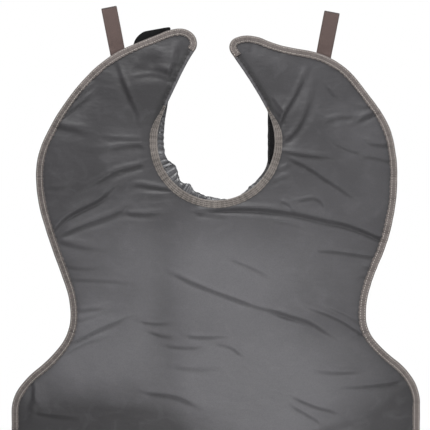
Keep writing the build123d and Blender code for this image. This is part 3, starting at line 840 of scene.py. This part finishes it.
def layer(kind, node, edge, inset, step, faces, material, slot):
    """One sheet of the laminate, as a piece for each zone. faces gives y of both faces of the flat."""
    flat = Flat(edge, inset, step, LEVELS)
    base = hang(flat.xz[:, 0], flat.xz[:, 1])
    front, back = faces(flat)
    made = {}
    for zone in COLLAR_ZONES if edge is collar_edge else ZONES:
        piece = slab(f"{kind}_{zone}", flat, zone, base + front, base + back, material)
        made[zone] = finish_piece(piece, zone, slot, f"{node}_{zone}")
    return made


def front_faces(flat):
    """y of the front cover's two faces, from the middle of the laminate."""
    swell = pillow(flat.depth, 1.3)
    return -HALF_LAMINATE - swell, -SHIELD - GAP - swell


def back_faces(flat):
    """y of the back cover's two faces, from the middle of the laminate."""
    swell = pillow(flat.depth, 0.9)
    return SHIELD + GAP + swell, HALF_LAMINATE + swell


def level_faces(low, high):
    """Faces that don't swell, at those distances behind the middle of the laminate."""
    return lambda flat: (np.full(len(flat.xz), low), np.full(len(flat.xz), high))


def gathers(flat, height):
    """Radial puckers round the collar, strongest beside its binding."""
    turn = np.arctan2(flat.xz[:, 1] - NECK_Z, flat.xz[:, 0]) / (2 * math.pi) % 1.0
    reach = np.exp(-np.maximum(flat.depth - 8, 0) / 18)
    folds = ripple(turn, 1.0, 0.016, 31) * reach + 0.6 * ripple(turn, 1.0, 0.06, 32)
    return height * smooth(flat.depth, 7, 14) * (1 + 0.8 * folds)


# For each sheet: its CAD node, edge, inset, grid step, faces, material and slot.
SHEETS = {
    "front_vinyl": ("front_cover", apron_edge, 0.8, 2.8, front_faces, FRONT_VINYL, "front_vinyl"),
    "back_vinyl": ("back_cover", apron_edge, 0.8, 3.6, back_faces, BACK_VINYL, "back_vinyl"),
    "front_lead": ("front_shield", apron_edge, 4, 4.5, level_faces(-0.9, -0.1), SHIELDING, "shielding"),
    "rear_lead": ("rear_shield", apron_edge, 4, 4.5, level_faces(0.1, 0.9), SHIELDING, "shielding"),
    "collar_lining": ("collar_inner_cover", collar_edge, 0.8, 2.5,
                      lambda flat: (8.0 - gathers(flat, 0.4), np.full(len(flat.xz), 8.7)),
                      NYLON, "collar_fabric"),
    "collar_lead": ("collar_shield", collar_edge, 4, 5, level_faces(8.9, 9.9), SHIELDING, "shielding"),
    "collar_shell": ("collar_outer_cover", collar_edge, 0.8, 2.5,
                     lambda flat: (np.full(len(flat.xz), 10.1), 10.8 + gathers(flat, 1.1)),
                     NYLON, "collar_fabric"),
}
sheets = {kind: layer(kind, *how) for kind, how in SHEETS.items()}

# Where bindings start and end on the apron's edge, and on the collar's.
RIGHT_HIP, RIGHT_SHOULDER, RIGHT_TIP, RIGHT_TURN = (228, -482), (272, -252), (29, -74), (74, -149)
RIGHT_NECK, LEFT_NECK = (70, -252), (-70, -252)
LEFT_TURN, LEFT_TIP, LEFT_SHOULDER, LEFT_HIP = (-75, -145), (-34, -66), (-270, -252), (-222, -482)
CUT_RIGHT, CUT_LEFT, CUT_OUTER_LEFT, CUT_OUTER_RIGHT = (62, -252), (-58, -252), (-137, -252), (137, -252)


def both_faces(front):
    """A band's section from the front half of it, listed from its inner lip to the edge."""
    return [*front, (-0.1, 0.0), *[(inset, -offset) for inset, offset in reversed(front)]]


EDGE_SECTION = both_faces([
    (10.9, -1.9), (10.7, -2.7), (9.9, -3.05), (9.1, -2.9), (8.3, -2.5), (7.5, -2.9), (6.0, -3.15),
    (4.2, -3.2), (2.2, -3.0), (0.8, -2.4), (0.1, -1.3),
])
NECK_SECTION = both_faces([
    (11.5, -1.9), (11.2, -2.5), (10.3, -2.85), (9.6, -2.75), (9.0, -2.4), (8.4, -2.75), (7.6, -3.05),
    (6.8, -2.85), (6.2, -2.4), (5.6, -2.85), (4.7, -3.15), (3.8, -2.9), (3.2, -2.4), (2.6, -2.9),
    (1.6, -3.05), (0.6, -2.4), (0.1, -1.2),
])
ROLL_SECTION = [
    (7.5, -1.7), (6.2, -1.86), (5.2, -1.8), (4.4, -2.05), (3.0, -2.5), (1.6, -2.45), (0.5, -1.8),
    (-0.1, -0.6), (-0.2, 1.0), (0.1, 2.8), (0.9, 4.4), (2.4, 5.3), (5.0, 5.4), (8.0, 5.1), (11.0, 5.2),
    (13.2, 5.0), (13.9, 4.0), (14.0, 2.6), (13.6, 1.9),
]


def puckered(edge, s):
    """The small gathers that sewing puts into a tape, -1 to 1 along it."""
    return np.cos(2 * math.pi * s / PUCKER + 2.2 * ripple(s, edge.length, 30, 72))


def uneven(edge, width, seed, scallop=0.25, wander=0.5):
    """Makes a band's inner lip wander and scallop with its puckers, and its faces swell and sink."""
    def vary(s, inset, offset):
        drift = ripple(s, edge.length, 17, seed)[:, None] * wander
        pucker = puckered(edge, s)[:, None]
        lip = smooth(inset, width - 4, width)
        swell = 1 + 0.07 * ripple(s, edge.length, 7, seed + 1)[:, None] + 0.13 * pucker
        return inset + lip * (drift + scallop * pucker), offset * swell
    return vary


def tapered(vary):
    """Narrows the neck binding towards the places where it slips under the rolled edges."""
    def vary_more(s, inset, offset):
        inset, offset = vary(s, inset, offset)
        share = neck_width(s)[:, None]
        return np.where(inset > 0, inset * share, inset), offset * (0.8 + 0.2 * share)
    return vary_more


def neck_width(s):
    """How wide the neck binding shows, as a share of its full width: least where it goes under a roll."""
    stops = [apron_edge.s[apron_edge.near(*end)] for end in (RIGHT_TURN, LEFT_TURN)]
    far = np.min([np.abs(np.asarray(s) - stop) for stop in stops], axis=0)
    return 0.3 + 0.7 * smooth(far, 0, 46)


def edge_band(name, start, end, section, zone, material, slot, nodes, vary, edge=apron_edge):
    """A band from one place on an edge to another, and the stations that it covers."""
    stations = edge.between(start, end)
    piece = strip(name, edge, stations, section, hang, material, vary)
    return stations, finish_piece(piece, zone, slot, *nodes)


def stitched_rows(name, edge, stations, rows, offset, zone, slot, material, sides=(-1, 1), pitch=3.6,
                  width=None):
    """Rows of stitches along a band, joined into one piece. rows holds (inset, offset change)."""
    made = [
        edge_stitches(f"{name}_{i}", edge, stations, inset, offset + change, hang, material, pitch,
                      sides=sides, width=width)
        for i, (inset, change) in enumerate(rows)
    ]
    piece = join(name, made)
    return finish_piece(piece, zone, slot)


def join(name, made):
    """One object made of several that share a material."""
    if len(made) > 1:
        with bpy.context.temp_override(active_object=made[0], selected_editable_objects=made):
            bpy.ops.object.join()
    made[0].name = name
    return made[0]


trims = {zone: [] for zone in ZONES}


def bound(name, ends, zone, section, material, slot, node, vary, rows, lift, stitch, **stitching):
    """A band along the apron's edge with its stitches, both going with the zone's front cover."""
    stations, band = edge_band(name, *ends, section, zone, material, slot, [node], vary)
    sewn = stitched_rows(f"{name}_stitches", apron_edge, stations, rows, lift, zone, slot, stitch,
                         **stitching)
    trims[zone] += [band, sewn]


for name, start, end, zone, node in (
    ("edge_tape_right_wing", RIGHT_SHOULDER, RIGHT_TIP, "right_wing", "edge_binding_right_wing"),
    ("edge_tape_left_wing", LEFT_TIP, LEFT_SHOULDER, "left_wing", "edge_binding_left_wing"),
    ("edge_tape_chest_left", LEFT_SHOULDER, LEFT_HIP, "chest", "edge_binding_chest_left"),
    ("edge_tape_lap", LEFT_HIP, RIGHT_HIP, "lap", "edge_binding_lap"),
    ("edge_tape_chest_right", RIGHT_HIP, RIGHT_SHOULDER, "chest", "edge_binding_chest_right"),
):
    bound(name, (start, end), zone, EDGE_SECTION, TAUPE, "binding_tape", node,
          uneven(apron_edge, BINDING_WIDTH, 41, 0.6, 0.6), [(2.4, 0.42), (8.3, 0)], 2.66, TAUPE_THREAD)

for start, end, zone in (
    (RIGHT_TURN, RIGHT_NECK, "right_wing"),
    (RIGHT_NECK, LEFT_NECK, "chest"),
    (LEFT_NECK, LEFT_TURN, "left_wing"),
):
    bound(f"neck_tape_{zone}", (start, end), zone, NECK_SECTION, NECK_TAPE, "binding_tape",
          f"neck_binding_{zone}", tapered(uneven(apron_edge, BINDING_WIDTH, 43, 0.15, 0.25)),
          [(3.2, 0), (6.2, 0), (9.0, 0)], 2.45, NECK_THREAD, pitch=3.0, width=neck_width)

for side, start, end in (("right", RIGHT_TIP, RIGHT_TURN), ("left", LEFT_TURN, LEFT_TIP)):
    bound(f"rolled_edge_{side}", (start, end), f"{side}_wing", ROLL_SECTION, FRONT_VINYL, "front_vinyl",
          f"turned_edge_{side}", uneven(apron_edge, 40, 45), [(5.3, 0)], 1.9, DARK_THREAD, sides=(-1,))

# ---------------------------------------------------------------- the collar
COLLAR_FRONT = [
    (10.2, 1.3), (10.0, 2.0), (8.8, 2.25), (8.0, 2.05), (7.2, 2.3), (4.5, 2.45), (2.2, 2.3), (0.7, 1.6),
    (0, 0.6),
]
COLLAR_SECTION = [(inset, COLLAR_MIDDLE - height) for inset, height in COLLAR_FRONT]
COLLAR_SECTION += [(inset, COLLAR_MIDDLE + height) for inset, height in reversed(COLLAR_FRONT)]


def swollen(s, inset, offset):
    """The collar's binding, ruffled where it goes round a curve."""
    ruffle = 0.35 * ripple(s, collar_edge.length, 6, 51)[:, None] * smooth(9 - inset, 0, 9)
    return inset + ruffle, COLLAR_MIDDLE + (offset - COLLAR_MIDDLE) * (1 + 0.1 * ruffle)


collar_trims = []
for name, start, end, zone, node in (
    ("collar_tape_inner_chest", CUT_RIGHT, CUT_LEFT, "chest", "collar_inner_binding_chest"),
    ("collar_tape_left_wing", CUT_LEFT, CUT_OUTER_LEFT, "left_wing", "collar_binding_left_wing"),
    ("collar_tape_outer_chest", CUT_OUTER_LEFT, CUT_OUTER_RIGHT, "chest", "collar_outer_binding_chest"),
    ("collar_tape_right_wing", CUT_OUTER_RIGHT, CUT_RIGHT, "right_wing", "collar_binding_right_wing"),
):
    stations, band = edge_band(name, start, end, COLLAR_SECTION, zone, COLLAR_TAPE, "binding_tape", [node],
                               swollen, collar_edge)
    sewn = edge_stitches(f"{name}_stitches", collar_edge, stations, 8.0, COLLAR_MIDDLE + 2.15, hang,
                         BLACK_THREAD, sides=(1,))
    collar_trims += [band, finish_piece(sewn, zone, "binding_tape")]

SEAM_SECTION = [(1.5, 3.1), (0.9, 5.0), (1.5, 7.0), (6, 7.3), (11, 7.0), (11.3, 5.0), (11, 3.1), (6, 2.9)]
seam_stations = apron_edge.between((76, -242), (-76, -242))
seam = strip("collar_seam_tape", apron_edge, seam_stations, SEAM_SECTION, hang, COLLAR_TAPE)
finish_piece(seam, "chest", "collar_fabric", "collar_seam")


# How far the gathered lining bulges into the neck opening, at places along the neck edge.
GATHER_REACH = [
    ((70, -250), 0.5), ((62, -262), 4.0), ((52, -270), 4.2), ((42, -277), 1.2), ((30, -283), -1.5),
    ((20, -290), -1.0), ((5, -288), 3.5), ((-15, -286), 5.5), ((-34, -281), 7.5), ((-46, -274), 14),
    ((-52, -269), 10), ((-60, -262), 9.0), ((-68, -255), 14), ((-77, -241), 17), ((-84, -226), 8.5),
    ((-88, -199), 9.5), ((-86, -179), 7.5), ((-82, -163), 6), ((-77, -150), 1.5),
]


def gathered(s, inset, offset):
    """Bulges and radial gathers of the lining, in a section that runs from inset 1 to -1."""
    knots = [apron_edge.s[apron_edge.near(*at)] for at, _ in GATHER_REACH]
    reach = np.interp(s, knots, [reach for _, reach in GATHER_REACH])
    reach = np.convolve(np.pad(reach, 1, "edge"), [0.25, 0.5, 0.25], "valid")
    reach = reach + 0.9 * ripple(s, apron_edge.length, 6, 61)
    pleat = np.cos(2 * math.pi * s / 9.5 + 4.0 * ripple(s, apron_edge.length, 17, 62))
    pleat += 0.9 * ripple(s, apron_edge.length, 5, 63)
    inward = np.where(inset < 0, inset * (reach + 0.35 * pleat)[:, None], inset * 9)
    free = smooth(-inset, -0.5, 0.6) * smooth(reach, 0, 5)[:, None]
    return inward, offset + free * pleat[:, None] * 1.5


GATHER_SECTION = [
    (1, 4.3), (0.6, 4.2), (0.2, 4.3), (-0.1, 4.5), (-0.35, 4.8), (-0.6, 5.3), (-0.8, 5.9), (-0.94, 6.6),
    (-1, 7.4), (-0.92, 8.2), (-0.7, 8.8), (-0.3, 9.2), (0.3, 9.3), (0.8, 9.3), (1, 8.5), (1, 6.0),
]
gather_stations = apron_edge.between((70, -250), (-77, -150))
gather = strip("collar_gather", apron_edge, gather_stations, GATHER_SECTION, hang, NYLON, gathered)
finish_piece(gather, "left_wing", "collar_fabric", "collar_inner_cover_chest")


# ---------------------------------------------------------------- fastening tapes and hanging loops
def whole(name, edge, step, y, half, material):
    """A soft plate inside an edge, thinner along its rim, with its middle y behind the laminate's."""
    flat = Flat(edge, 0.05, step, ())
    flat.zone[:] = 0
    thick = half * (0.55 + 0.45 * (1 - np.exp(-flat.depth / 1.2)))
    base = hang(flat.xz[:, 0], flat.xz[:, 1]) + y
    return slab(name, flat, ZONES[0], base - thick, base + thick, material)


def turned(places, origin, angle):
    """Places given across and along a direction, as places in the apron's plane."""
    a = math.radians(angle)
    return [
        (origin[0] + x * math.sin(a) + z * math.cos(a), origin[1] - x * math.cos(a) + z * math.sin(a),
         heading + angle - 90)
        for x, z, heading in places
    ]


FASTENING_PITCH = 3.2  # of the stitches round the patch and the tab
PATCH_PLACES = [(81.5, -233, 0), (125, -233, 0), (128, -230, 90), (128, -111, 90), (125, -108, 180),
                (81.5, -108, 180), (78.5, -111, 270), (78.5, -230, 270)]
patch_edge = Edge(PATCH_PLACES, 2)
patch = whole("loop_tape", patch_edge, 2.6, PATCH_MIDDLE, 0.7, LOOPS)
finish_piece(patch, "right_wing", "fastening_tape", "loop_patch_chest", "loop_patch_right_wing")
patch_sewn = edge_stitches("loop_tape_stitches", patch_edge, np.arange(len(patch_edge.p)), 2.2,
                           0.75 - PATCH_MIDDLE, hang, BLACK_THREAD, FASTENING_PITCH, sides=(-1,))
finish_piece(patch_sewn, "right_wing", "fastening_tape")

TAB_HINGE, TAB_LEAN = (-97.0, -81.2), 82.5
TAB_PLACES = [(14, 0, 0), (17.2, 3, 86), (21.4, 51, 90), (18.5, 58.7, 196), (-16, 48, 200),
              (-25.6, 40, 232), (-31, 27.5, 262), (-31.2, 24, 285), (-25.8, 3, 283), (-22, 0, 0)]
tab_edge = Edge(turned(TAB_PLACES, TAB_HINGE, TAB_LEAN), 2)
tab = whole("hook_tape", tab_edge, 2.6, COLLAR_MIDDLE, 0.7, HOOKS)


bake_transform(tab)
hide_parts("hook_tab")
tab_sewn = edge_stitches("hook_tape_stitches", tab_edge, np.arange(len(tab_edge.p)), 2.2, 0.0,
                         lambda x, z: hang(x, z) + COLLAR_MIDDLE, BLACK_THREAD, FASTENING_PITCH)
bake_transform(tab_sewn)


def from_hinge(hinge, up, along, across):
    """x and z of places that far along and across a direction from a hinge (x, y, z)."""
    a = math.radians(up)
    x = hinge[0] + along * math.cos(a) + across * math.sin(a)
    return x, hinge[2] + along * math.sin(a) - across * math.cos(a)


def ribbon(name, path, half_thick, origin, up, material, closed, fold_shadow_span=None):
    """Webbing along a path of (along, y) from an origin (x, y, z), with its width square to the path."""
    path = np.array(path, float)
    after = np.roll(path, -1, 0) if closed else np.vstack([path[1:], 2 * path[-1] - path[-2]])
    before = np.roll(path, 1, 0) if closed else np.vstack([2 * path[0] - path[1], path[:-1]])
    tangent = after - before
    tangent /= np.linalg.norm(tangent, axis=1)[:, None]
    normal = np.stack([-tangent[:, 1], tangent[:, 0]], 1)
    half = LOOP_WIDTH / 2
    rows = np.linspace(-1, 1, 15)
    bulge = 1 - 0.25 * np.abs(rows) ** 8 + 0.12 * np.exp(-(((np.abs(rows) - 0.88) / 0.07) ** 2))
    across = np.concatenate([rows * half, rows[::-1] * half])
    lift = np.concatenate([bulge, -bulge[::-1]]) * half_thick
    y = path[:, None, 1] + normal[:, None, 1] * lift
    x, z = from_hinge(origin, up, path[:, None, 0] + normal[:, None, 0] * lift, across)
    points = np.stack([x, origin[1] + y, z], 2).reshape(-1, 3)
    count, cols = len(path), len(across)
    faces = tube_faces(count, cols, closed)
    s = np.concatenate([[0], np.cumsum(np.linalg.norm(np.diff(path, axis=0), axis=1))])
    flat = np.stack([np.repeat(s, cols), np.tile(across, count), np.repeat(path[:, 1], cols)], 1)
    # painted shadow where the loop folds over at its top, over the given span of the path
    soil_and_shade = np.repeat(smooth(path[:, 0], *fold_shadow_span) if fold_shadow_span else np.zeros(count), cols)
    return new_mesh(name, points, outward(points, faces), material, flat, marks={"soil_and_shade": soil_and_shade})


def loop_path(length):
    """Centreline of a webbing loop folded over at its top: (along, y), round and back to its root."""
    radius = 4.1
    top = length - radius - WEBBING / 2
    side = [
        (-4.5, 0.68), (-1, 0.68), (2, 0.7), (5, 0.8), (9, 1.3), (15, 2.2), (24, 3.0), (36, 3.6), (48, 3.95),
    ]
    bend = [(top + radius * math.sin(t), radius * math.cos(t)) for t in np.linspace(0, math.pi, 13)]
    return rounded([*side, *bend, *[(u, -v) for u, v in reversed(side)]], 4)


LOOP_Y = 3.9
ANCHOR_LENGTH = 28.0
HINGE_STANDOFF = 1.8
# The stitches that sew a loop's end down: a box with a cross in it, as (across, along) from the hinge.
BOX_STITCH, BOX_PITCH = 2.4, 3.2
BOX_RUNS = [(-9, -25), (9, -25), (9, -7), (-9, -7), (-9, -25), (9, -7)], [(9, -25), (-9, -7)]
for side, base, edge_angle, up, length in (
    ("left", (-147.4, -63.8), 30.1, 101, 67),
    ("right", (161.5, -69.1), -21.7, 79, 65),
):
    out = math.radians(edge_angle + 90)
    hinge = (base[0] + HINGE_STANDOFF * math.cos(out), LOOP_Y, base[1] + HINGE_STANDOFF * math.sin(out))
    # the loop's last millimetres get a painted shadow of its top fold
    loop = ribbon(f"hanging_webbing_{side}", loop_path(length), WEBBING / 2 - 0.02, hinge, up, BROWN, True,
                  (length - 4, length - 1))
    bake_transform(loop)
    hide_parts(f"hanging_loop_{side}")
    flat_path = [(u, 0.15) for u in np.linspace(-ANCHOR_LENGTH, -3.5, 14)]
    sewn_end = ribbon(f"sewn_webbing_{side}", flat_path, WEBBING, hinge, up, BROWN, False)
    finish_piece(sewn_end, f"{side}_wing", "webbing", f"loop_anchor_{side}")
    starts, ends = [], []
    for (x0, u0), (x1, u1) in [pair for run in BOX_RUNS for pair in zip(run, run[1:])]:
        far = math.hypot(x1 - x0, u1 - u0)
        for d in np.arange(0.4, far - BOX_STITCH, BOX_PITCH):
            for t, into in ((d, starts), (d + BOX_STITCH, ends)):
                across, along = x0 + (x1 - x0) * t / far, u0 + (u1 - u0) * t / far
                x, z = from_hinge(hinge, up, along, across)
                into.append((x, LOOP_Y + 1.5, z))
    facing = np.tile([0, 1, 0], (len(starts), 1))
    box = stitch_mesh(f"sewn_webbing_{side}_stitches", starts, ends, facing, BROWN_THREAD)
    finish_piece(box, f"{side}_wing", "webbing")

# ---------------------------------------------------------------- the size each sheet piece was cut to, read and then dropped
for kind, made in sheets.items():
    for zone, piece in made.items():
        width, length, area = piece["cut"]
        del piece["cut"]

# ---------------------------------------------------------------- floor, light and camera
CAMERA_PLACE = Vector((-1.5, -1523, -309)) * MM
FLOOR_Z, FLOOR_RADIUS = -0.93, 1.2  # metres
WHITE = (1, 1, 1, 1)
AMBIENT = 0.3

floor_look = Look("floor_look", Specular_IOR_Level=0.2)
grain = floor_look.node("ShaderNodeTexNoise", {"Scale": 3.0, "Detail": 2.0}, "Fac")
floor_look.finish(
    floor_look.mix(grain, (0.8, 0.8, 0.8, 1), (0.84, 0.84, 0.84, 1)),
    floor_look.level(grain, 0, 1, 0.7, 0.8),
    floor_look.bump(grain, 0.1),
)
bpy.ops.mesh.primitive_circle_add(
    vertices=96, radius=FLOOR_RADIUS, fill_type="NGON", location=(0, 0, FLOOR_Z)
)
floor = bpy.context.object
floor.name = "floor"
floor.data.materials.append(floor_look.material)

world = bpy.data.worlds.new("studio")
bpy.context.scene.world = world
world.use_nodes = True
sky = world.node_tree
ambient = sky.nodes["Background"]
ambient.inputs["Color"].default_value = WHITE
ambient.inputs["Strength"].default_value = AMBIENT
seen = sky.nodes.new("ShaderNodeBackground")
seen.inputs["Color"].default_value = WHITE
seen.inputs["Strength"].default_value = 1.0
choose = sky.nodes.new("ShaderNodeMixShader")
path_node = sky.nodes.new("ShaderNodeLightPath")
sky.links.new(path_node.outputs["Is Camera Ray"], choose.inputs[0])
sky.links.new(ambient.outputs[0], choose.inputs[1])
sky.links.new(seen.outputs[0], choose.inputs[2])
sky.links.new(choose.outputs[0], sky.nodes["World Output"].inputs["Surface"])


def soft_light(name, place, aim, size, power):
    """A round lamp of that diameter in metres and power in watts."""
    lamp = bpy.data.lights.new(name, "AREA")
    lamp.shape, lamp.size, lamp.energy = "DISK", size, power
    light = bpy.data.objects.new(name, lamp)
    light.location = place
    light.rotation_mode = "QUATERNION"
    light.rotation_quaternion = (Vector(aim) - Vector(place)).to_track_quat("-Z", "Y")
    bpy.context.scene.collection.objects.link(light)


soft_light("key_light", (-0.2, -0.8, 0.85), (0.02, 0, -0.5), 0.45, 20)
soft_light("belly_light", (0.15, -1.1, -0.72), (0.05, 0, -0.56), 0.5, 5.5)
soft_light("side_light", (1.3, -0.6, 0.1), (0, 0, -0.25), 0.35, 5)
soft_light("back_light", (0.3, 1.4, 0.8), (0, 0, -0.4), 0.9, 18)

camera_data = bpy.data.cameras.new("camera")
camera_data.lens, camera_data.sensor_width = 85, 36
camera = bpy.data.objects.new("camera", camera_data)
camera.location = CAMERA_PLACE
camera.rotation_euler = (math.pi / 2, 0, 0)
bpy.context.scene.collection.objects.link(camera)
bpy.context.scene.camera = camera
bpy.context.scene.view_settings.view_transform = "Standard"
